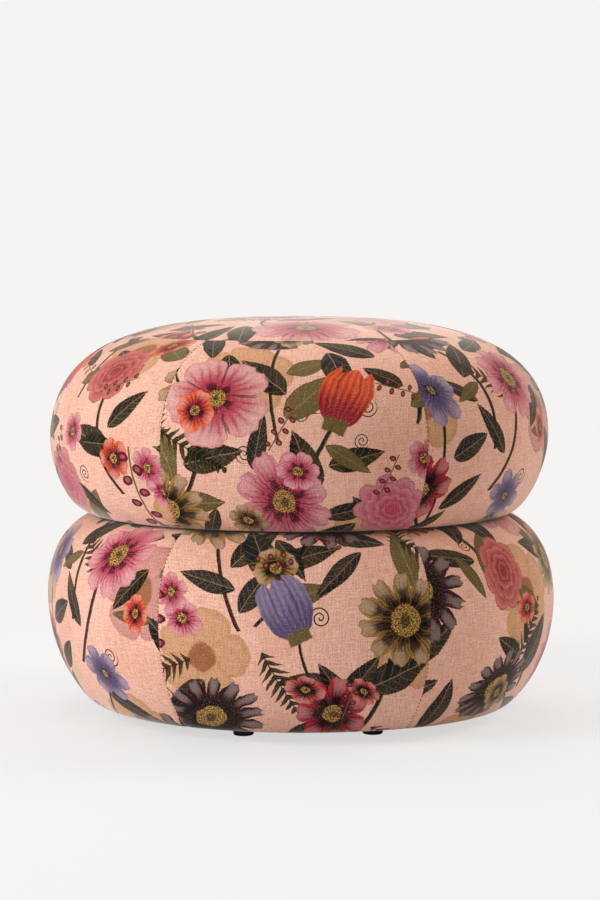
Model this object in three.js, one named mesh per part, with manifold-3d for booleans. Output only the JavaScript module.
// A round tuffet in two tiers: a cushioned drum that stands on glides, and a seat cushion bolted on top.
// Millimetres, +Z up. The origin is on the floor, on the tuffet's upright axis. The front faces -Y.
import * as THREE from "three";
import { mergeVertices } from "three/addons/utils/BufferGeometryUtils.js";
import Module from "manifold-3d";

const wasm = await Module();
wasm.setup();

// Overall shape. Rises are measured up from each cushion's own base.
const boardRadius = 205;
const lowerHeight = 212;
const lowerWaistRise = 118.7;
const lowerBulge = 75.2; // from the drum's side out to the lower cushion's widest ring
const lowerBaseRim = 9.7; // flat under the cushion, past the drum
const lowerTopRim = 3.4; // flat on top of the cushion, past the drum
const seatHeight = 214.3;
const seatWaistRise = 83.4;
const seatBulge = 72.4; // from the seat board's edge out to the seat cushion's widest ring
const seatRim = 30.8; // flat under the cushion, past the seat board
const topPanelRadius = 190;

// How square each quarter of the outline is: 2 is an ellipse, and more is squarer.
const lowerBaseRoundness = 1.79;
const lowerTopRoundness = 2.28;
const seatBaseRoundness = 1.55;
const crownSideRoundness = 3.29;
const crownTopRoundness = 2.28;

// Cover and padding.
const goreCount = 6;
const frontGoreTurn = -1.5; // degrees
const cloth = 1.2;
const hemWidth = 15;
const seamDip = 1.5; // how far a seam is drawn in
const seamDipRoundness = 6;
const wadding = 5;
const coreDepth = 130;
const dustCloth = 0.8;
const dustInset = 5;

// Timber.
const boardThickness = 18;
const hoopWall = 2;
const postCount = 4;
const postWidth = 44;
const postOffset = 95; // from the axis to a post's middle, along X and along Y

// Glides and fasteners.
const glideCount = 8;
const glideTurn = 3; // degrees
const glideHeight = 10;
const glideRadius = 11;
const glideEdgeInset = 25; // from the board's edge in to the glides' circle
const glideChamfer = 1.2;
const glideRecess = 4.5;
const glideScrewHead = 2.4;
const glideScrewHeadRadius = 4.2;
const glideScrewRadius = 2;
const glideScrewBite = 13;
const postScrewHead = 3;
const postScrewHeadRadius = 4.6;
const postScrewRadius = 2.3;
const postScrewBite = 40;
const boltCount = 4;
const boltOffset = 120;
const boltRadius = 3;
const boltHead = 4;
const boltHeadRadius = 5.8;
const boltTipInset = 2;
const teeNutFlange = 1.5;
const teeNutFlangeRadius = 9;
const teeNutRadius = 4.7;
const teeNutLength = 11;

// Gaps between touching pieces, and how far a cut runs past a face.
const clearance = 0.3;
const overrun = 2;

// Faceting.
const goreColumns = 6;
const arcSteps = 5;
const shoulderSteps = 4;
const crownSteps = 2;
const capSteps = 3;
const roundSides = goreCount * goreColumns;
const fastenerSides = 8;
const glideSides = 12;
const hexSides = 6;

// Levels, from the floor up.
const dustBottom = glideHeight + clearance;
const lowerBase = dustBottom + dustCloth + clearance;
const lowerTop = lowerBase + lowerHeight;
const baseBoardBottom = lowerBase + cloth + clearance;
const baseBoardTop = baseBoardBottom + boardThickness;
const deckTop = lowerTop - cloth - clearance;
const deckBottom = deckTop - boardThickness;
const seatBase = lowerTop + clearance;
const seatBoardBottom = seatBase + cloth + clearance;
const seatBoardTop = seatBoardBottom + boardThickness;
const coreBottom = seatBoardTop + clearance;
const coreTop = coreBottom + coreDepth;

// Radii and depths below the cover's face.
const hoopInner = boardRadius + clearance;
const drumRadius = hoopInner + hoopWall;
const hemRadius = boardRadius - hemWidth;
const glideCircle = boardRadius - glideEdgeInset;
const waddingDepth = cloth + seamDip + clearance;
const waddingBack = waddingDepth + wadding;
const foamDepth = waddingBack + clearance;

const quarterTurn = Math.PI / 2;
const goreAngle = (2 * Math.PI) / goreCount;
const seamPhase = THREE.MathUtils.degToRad(frontGoreTurn) - goreAngle / 2;

// The quarters of the two outlines.
// Each runs from the widest ring (share 0) to its flat or to the crown (share 1).
const lowerUnder = {
  flat: drumRadius + lowerBaseRim,
  out: lowerBulge - lowerBaseRim,
  level: lowerBase + lowerWaistRise,
  reach: lowerWaistRise,
  way: -1,
  spread: lowerBaseRoundness,
  fullness: lowerBaseRoundness,
};
const lowerOver = {
  flat: drumRadius + lowerTopRim,
  out: lowerBulge - lowerTopRim,
  level: lowerBase + lowerWaistRise,
  reach: lowerHeight - lowerWaistRise,
  way: 1,
  spread: lowerTopRoundness,
  fullness: lowerTopRoundness,
};
const seatUnder = {
  flat: boardRadius + seatRim,
  out: seatBulge - seatRim,
  level: seatBase + seatWaistRise,
  reach: seatWaistRise,
  way: -1,
  spread: seatBaseRoundness,
  fullness: seatBaseRoundness,
};
const seatOver = {
  flat: 0,
  out: boardRadius + seatBulge,
  level: seatBase + seatWaistRise,
  reach: seatHeight - seatWaistRise,
  way: 1,
  spread: crownSideRoundness,
  fullness: crownTopRoundness,
};

// Where a station lies, as [radius, height], with the whole outline drawn smaller by inset.
// A station with a radius of its own lies on the flat that ends its quarter.
function place({ quarter, share, radius }, inset) {
  const turn = share * quarterTurn;
  const out = (quarter.out - inset) * Math.max(Math.cos(turn), 0) ** (2 / quarter.spread);
  const up = (quarter.reach - inset) * Math.sin(turn) ** (2 / quarter.fullness);
  const reached = share === 1 ? quarter.flat : quarter.flat + out;
  return [radius ?? reached, quarter.level + quarter.way * up];
}

const shares = (count) => Array.from({ length: count + 1 }, (_, i) => i / count);
const shareAtRadius = (quarter, radius) =>
  Math.acos((radius / quarter.out) ** (quarter.spread / 2)) / quarterTurn;
const shareAtHeight = (quarter, height, inset) =>
  Math.asin(((height - quarter.level) / (quarter.reach - inset)) ** (quarter.fullness / 2)) / quarterTurn;

// Stations along a quarter: up from the flat under a cushion, in to the flat on top,
// or up a crown to one share of it.
const risingFrom = (quarter, radius) => [
  { quarter, share: 1, radius },
  ...shares(arcSteps).reverse().map((share) => ({ quarter, share })),
];
const closingTo = (quarter, radius) => risingFrom(quarter, radius).reverse().slice(1);
const crowning = (quarter, last, count, first = 0) =>
  shares(count).map((share) => ({ quarter, share: first + share * (last - first) }));

const lowerCover = [...risingFrom(lowerUnder, hemRadius), ...closingTo(lowerOver, hemRadius)];
const lowerPadding = [
  ...risingFrom(lowerUnder, drumRadius + clearance),
  ...closingTo(lowerOver, drumRadius + clearance),
];
// Every layer of the seat cushion shares these stations, so that flat facets nest as the curves do.
const coreShare = shareAtHeight(seatOver, coreTop, foamDepth);
const crownShare = shareAtHeight(seatOver, coreTop + clearance, foamDepth);
const seamShare = shareAtRadius(seatOver, topPanelRadius);
const panelShare = shareAtRadius(seatOver, topPanelRadius - clearance);
const waistToCore = crowning(seatOver, coreShare, shoulderSteps).slice(1);
const coreToSeam = crowning(seatOver, seamShare, crownSteps, coreShare).slice(1);
const seamToTop = crowning(seatOver, 1, capSteps, seamShare).slice(1);
const seatUnderside = risingFrom(seatUnder, boardRadius + clearance);
const seatCover = [...risingFrom(seatUnder, hemRadius), ...waistToCore, ...coreToSeam];
const seatPadding = [...seatUnderside, ...waistToCore, ...coreToSeam, ...seamToTop];
const seatBolsterLine = [...seatUnderside, ...waistToCore];
const seatCrownLine = [{ quarter: seatOver, share: crownShare }, ...coreToSeam, ...seamToTop];
const topPanelLine = [{ quarter: seatOver, share: panelShare }, ...seamToTop];

// Turns a three.js solid of revolution, which stands along Y, up to +Z. Its angle then starts at the front.
// The profile is a list of [radius, height] that runs up the outside and closes on itself or on the axis.
function spun(profile, sides, phase = 0) {
  const points = profile.map(([radius, height]) => new THREE.Vector2(radius, height));
  const turned = new THREE.LatheGeometry(points, sides, phase, 2 * Math.PI);
  return bare(turned.rotateX(quarterTurn));
}

// Only the positions of a geometry, with shared corners merged.
function bare(geometry) {
  const plain = geometry.index ? geometry.toNonIndexed() : geometry;
  const corners = new THREE.BufferGeometry().setAttribute("position", plain.getAttribute("position"));
  return mergeVertices(corners);
}

function solidOf(geometry) {
  const vertProperties = new Float32Array(geometry.attributes.position.array);
  const triVerts = new Uint32Array(geometry.index.array);
  return new wasm.Manifold(new wasm.Mesh({ numProp: 3, vertProperties, triVerts }));
}

function geometryOf(solid) {
  const { vertProperties, triVerts } = solid.getMesh();
  const geometry = new THREE.BufferGeometry();
  geometry.setAttribute("position", new THREE.BufferAttribute(vertProperties, 3));
  return geometry.setIndex(new THREE.BufferAttribute(triVerts, 1));
}

const drilled = (geometry, cutters) =>
  geometryOf(cutters.reduce((left, cutter) => left.subtract(solidOf(cutter)), solidOf(geometry)));

// A profile on the axis, from steps of [radius, height] that run upwards.
const onAxis = (steps) => [[0, steps[0][1]], ...steps, [0, steps.at(-1)[1]]];
const closed = (profile) => [...profile, profile[0]];

// A ring of padding between two depths below the cover, or a solid one from a depth to its inner radius.
const layer = (stations, outer, inner) =>
  closed([...stations.map((s) => place(s, outer)), ...stations.map((s) => place(s, inner)).reverse()]);
const filled = (stations, depth) => closed(stations.map((s) => place(s, depth)));

// One gore of a cover: a patch of cloth between two seams, drawn in where it is sewn, but not on the flats.
function gore(stations) {
  const rows = stations.length - 1;
  const corners = [];
  const seamGap = clearance / hemRadius;
  const columnShares = shares(goreColumns);
  for (const depth of [0, cloth]) {
    for (const across of columnShares) {
      const drawn = seamDip * Math.abs(2 * across - 1) ** seamDipRoundness;
      const angle = (across - 1 / 2) * (goreAngle - seamGap);
      stations.forEach((station, row) => {
        const dip = station.share === 1 ? 0 : drawn * Math.sin((Math.PI * row) / rows);
        const [radius, height] = place(station, depth + dip);
        corners.push(radius * Math.sin(angle), -radius * Math.cos(angle), height);
      });
    }
  }
  const back = (goreColumns + 1) * (rows + 1);
  const corner = (column, row, side) => side * back + column * (rows + 1) + row;
  const faces = [];
  const quad = (a, b, c, d) => faces.push(a, b, c, a, c, d);
  for (let column = 0; column < goreColumns; column += 1) {
    for (let row = 0; row < rows; row += 1) {
      const outside = [corner(column, row, 0), corner(column + 1, row, 0)];
      const outsideUp = [corner(column, row + 1, 0), corner(column + 1, row + 1, 0)];
      const inside = [corner(column, row, 1), corner(column + 1, row, 1)];
      const insideUp = [corner(column, row + 1, 1), corner(column + 1, row + 1, 1)];
      quad(outside[0], outside[1], outsideUp[1], outsideUp[0]);
      quad(inside[1], inside[0], insideUp[0], insideUp[1]);
      if (row === 0) quad(inside[0], inside[1], outside[1], outside[0]);
      if (row === rows - 1) quad(outsideUp[0], outsideUp[1], insideUp[1], insideUp[0]);
      if (column === 0) quad(inside[0], outside[0], outsideUp[0], insideUp[0]);
      if (column === goreColumns - 1) quad(outside[1], inside[1], insideUp[1], outsideUp[1]);
    }
  }
  const geometry = new THREE.BufferGeometry();
  geometry.setAttribute("position", new THREE.Float32BufferAttribute(corners, 3));
  return geometry.setIndex(faces);
}

// Fasteners, each standing on its head at height zero. A grown one is the hole that it passes through.
const countersunk = (length, grow = 0) =>
  onAxis([
    [postScrewHeadRadius + grow, grow > 0 ? -overrun : 0],
    ...(grow > 0 ? [[postScrewHeadRadius + grow, 0]] : []),
    [postScrewRadius + grow, postScrewHead],
    [postScrewRadius + grow, length + grow],
  ]);
const panHead = (length) =>
  onAxis([
    [glideScrewHeadRadius, 0],
    [glideScrewHeadRadius, glideScrewHead],
    [glideScrewRadius, glideScrewHead],
    [glideScrewRadius, length],
  ]);
const shaft = (radius, bottom, top) => onAxis([[radius, bottom], [radius, top]]);
const teeNutSteps = (grow) => [
  [teeNutRadius + grow, seatBoardTop - teeNutLength - grow],
  [teeNutRadius + grow, seatBoardTop - teeNutFlange - grow],
  [teeNutFlangeRadius + grow, seatBoardTop - teeNutFlange - grow],
];

// Places round the axis, as [x, y].
const ring = (count, radius, phase) =>
  Array.from({ length: count }, (_, i) => {
    const angle = phase + (i * 2 * Math.PI) / count;
    return [radius * Math.sin(angle), -radius * Math.cos(angle)];
  });
const firstGlide = THREE.MathUtils.degToRad(glideTurn) + Math.PI / glideCount;
const glidePlaces = ring(glideCount, glideCircle, firstGlide);
const postPlaces = ring(postCount, postOffset * Math.SQRT2, Math.PI / postCount);
const boltPlaces = ring(boltCount, boltOffset, 0);
const moved = (geometry, [x, y], z = 0) => geometry.clone().translate(x, y, z);

const finishes = {
  linen: { color: 0xe2a48c, roughness: 0.9, metalness: 0 },
  wadding: { color: 0xf1f0ec, roughness: 1, metalness: 0 },
  foam: { color: 0xe9dcb4, roughness: 0.95, metalness: 0 },
  softFoam: { color: 0xdfe6ee, roughness: 0.95, metalness: 0 },
  dustCloth: { color: 0x1b1b1d, roughness: 0.95, metalness: 0 },
  plywood: { color: 0xcfa978, roughness: 0.7, metalness: 0 },
  timber: { color: 0xdcbc88, roughness: 0.75, metalness: 0 },
  hardboard: { color: 0x7a5636, roughness: 0.8, metalness: 0 },
  steel: { color: 0xb9bcc0, roughness: 0.35, metalness: 1 },
  plastic: { color: 0x151516, roughness: 0.5, metalness: 0 },
};

const tuffet = new THREE.Group();
tuffet.name = "tuffet";
const lowerTier = new THREE.Group();
const seatTier = new THREE.Group();
tuffet.add(lowerTier, seatTier);

function add(tier, name, geometry, finish, [x, y] = [0, 0], z = 0) {
  const mesh = new THREE.Mesh(geometry, new THREE.MeshStandardMaterial(finishes[finish]));
  mesh.name = name;
  mesh.position.set(x, y, z);
  tier.add(mesh);
  return mesh;
}

// The glides stand on the floor, and their screws run up through the dust cover into the base board.
function addGlides() {
  const recessRadius = glideScrewHeadRadius + 2 * clearance;
  const boreRadius = glideScrewRadius + clearance;
  const glide = spun(
    closed([
      [recessRadius, 0],
      [glideRadius - glideChamfer, 0],
      [glideRadius, glideChamfer],
      [glideRadius, glideHeight],
      [boreRadius, glideHeight],
      [boreRadius, glideRecess],
      [recessRadius, glideRecess],
    ]),
    glideSides,
  );
  const screwBottom = glideRecess - clearance - glideScrewHead;
  const screw = spun(panHead(baseBoardBottom + glideScrewBite - screwBottom), fastenerSides);
  glidePlaces.forEach((at, i) => {
    add(lowerTier, `glide_${i + 1}`, glide, "plastic", at);
    add(lowerTier, `glide_screw_${i + 1}`, screw, "steel", at, screwBottom);
  });
}

function addDustCover() {
  const disc = shaft(boardRadius - dustInset, dustBottom, dustBottom + dustCloth);
  const sheet = spun(disc, roundSides, seamPhase);
  const bore = glideScrewRadius + clearance;
  const hole = spun(shaft(bore, dustBottom - overrun, lowerBase + overrun), fastenerSides);
  add(lowerTier, "dust_cover", drilled(sheet, glidePlaces.map((at) => moved(hole, at))), "dustCloth");
}

// The drum: two boards, four posts with a screw in each end, and a thin hoop bent round the boards.
function addDrum() {
  const screwLength = boardThickness + postScrewBite;
  const screw = spun(countersunk(screwLength), fastenerSides);
  const screwHole = spun(countersunk(screwLength, clearance), fastenerSides);
  const downward = (geometry) => geometry.clone().rotateX(Math.PI);
  const footHoles = postPlaces.map((at) => moved(screwHole, at, baseBoardBottom));
  const headHoles = postPlaces.map((at) => moved(downward(screwHole), at, deckTop));

  const pilotRadius = glideScrewRadius + clearance;
  const pilotTop = baseBoardBottom + glideScrewBite + clearance;
  const glideHole = spun(shaft(pilotRadius, baseBoardBottom - overrun, pilotTop), fastenerSides);
  const baseBoard = spun(shaft(boardRadius, baseBoardBottom, baseBoardTop), roundSides, seamPhase);
  const baseCuts = [...footHoles, ...glidePlaces.map((at) => moved(glideHole, at))];
  add(lowerTier, "base_board", drilled(baseBoard, baseCuts), "plywood");

  const boltBore = boltRadius + clearance;
  const boltHole = spun(shaft(boltBore, deckBottom - overrun, deckTop + overrun), fastenerSides);
  const deckBoard = spun(shaft(boardRadius, deckBottom, deckTop), roundSides, seamPhase);
  const deckCuts = [...headHoles, ...boltPlaces.map((at) => moved(boltHole, at))];
  add(lowerTier, "deck_board", drilled(deckBoard, deckCuts), "plywood");

  const postBottom = baseBoardTop + clearance;
  const postHeight = deckBottom - clearance - postBottom;
  postPlaces.forEach((at, i) => {
    const timber = bare(new THREE.BoxGeometry(postWidth, postWidth, postHeight));
    const upright = moved(timber, at, postBottom + postHeight / 2);
    add(lowerTier, `post_${i + 1}`, drilled(upright, [footHoles[i], headHoles[i]]), "timber");
    add(lowerTier, `post_foot_screw_${i + 1}`, screw, "steel", at, baseBoardBottom);
    add(lowerTier, `post_head_screw_${i + 1}`, downward(screw), "steel", at, deckTop);
  });

  const hoop = closed([
    [hoopInner, baseBoardBottom],
    [drumRadius, baseBoardBottom],
    [drumRadius, deckTop],
    [hoopInner, deckTop],
  ]);
  add(lowerTier, "drum_hoop", spun(hoop, roundSides, seamPhase), "hardboard");
}

function addLowerPadding() {
  const bolster = spun(filled(lowerPadding, foamDepth), roundSides, seamPhase);
  add(lowerTier, "lower_bolster", bolster, "foam");
  const wrap = spun(layer(lowerPadding, waddingDepth, waddingBack), roundSides, seamPhase);
  add(lowerTier, "lower_wadding", wrap, "wadding");
}

// The seat board is pulled down on the deck by bolts from below, which turn in tee nuts let into its top.
function addSeatBoard() {
  const board = spun(shaft(boardRadius, seatBoardBottom, seatBoardTop), roundSides, seamPhase);
  const nutHole = spun(
    onAxis([...teeNutSteps(clearance), [teeNutFlangeRadius + clearance, seatBoardTop + overrun]]),
    fastenerSides,
  );
  const bore = boltRadius + clearance;
  const boltHole = spun(shaft(bore, seatBoardBottom - overrun, seatBoardTop), fastenerSides);
  const cuts = boltPlaces.flatMap((at) => [moved(nutHole, at), moved(boltHole, at)]);
  add(seatTier, "seat_board", drilled(board, cuts), "plywood");

  const nut = spun(
    closed([
      ...teeNutSteps(0),
      [teeNutFlangeRadius, seatBoardTop],
      [bore, seatBoardTop],
      [bore, seatBoardTop - teeNutLength],
    ]),
    fastenerSides,
  );
  const headTop = deckBottom - clearance;
  const head = spun(shaft(boltHeadRadius, headTop - boltHead, headTop), hexSides);
  const shank = spun(shaft(boltRadius, headTop - boltHead / 2, seatBoardTop - boltTipInset), fastenerSides);
  const bolt = geometryOf(solidOf(head).add(solidOf(shank)));
  boltPlaces.forEach((at, i) => {
    add(seatTier, `tee_nut_${i + 1}`, nut, "steel", at);
    add(seatTier, `joining_bolt_${i + 1}`, bolt, "steel", at);
  });
}

function addSeatPadding() {
  const core = spun(shaft(boardRadius, coreBottom, coreTop), roundSides, seamPhase);
  add(seatTier, "seat_core", core, "foam");

  const bolsterLine = seatBolsterLine.map((station) => place(station, foamDepth));
  const bolster = closed([...bolsterLine, [boardRadius + clearance, coreTop]]);
  add(seatTier, "seat_bolster", spun(bolster, roundSides, seamPhase), "foam");

  const dome = seatCrownLine.map((station) => place(station, foamDepth));
  add(seatTier, "crown_foam", spun([[0, dome[0][1]], ...dome], roundSides, seamPhase), "softFoam");

  const outer = seatPadding.map((station) => place(station, waddingDepth));
  const inner = seatPadding.map((station) => place(station, waddingBack));
  const wrap = [...inner.reverse(), ...outer];
  add(seatTier, "seat_wadding", spun(wrap, roundSides, seamPhase), "wadding");
}

function addCovers() {
  const lowerGore = gore(lowerCover);
  const seatGore = gore(seatCover);
  for (let i = 0; i < goreCount; i += 1) {
    const turn = THREE.MathUtils.degToRad(frontGoreTurn) + i * goreAngle;
    add(lowerTier, `lower_gore_${i + 1}`, lowerGore, "linen").rotation.z = turn;
    add(seatTier, `seat_gore_${i + 1}`, seatGore, "linen").rotation.z = turn;
  }
  const face = topPanelLine.map((station) => place(station, 0));
  const back = topPanelLine.map((station) => place(station, cloth));
  add(seatTier, "seat_top_panel", spun([...back.reverse(), ...face], roundSides, seamPhase), "linen");
}

addGlides();
addDustCover();
addDrum();
addLowerPadding();
addSeatBoard();
addSeatPadding();
addCovers();

export default tuffet;
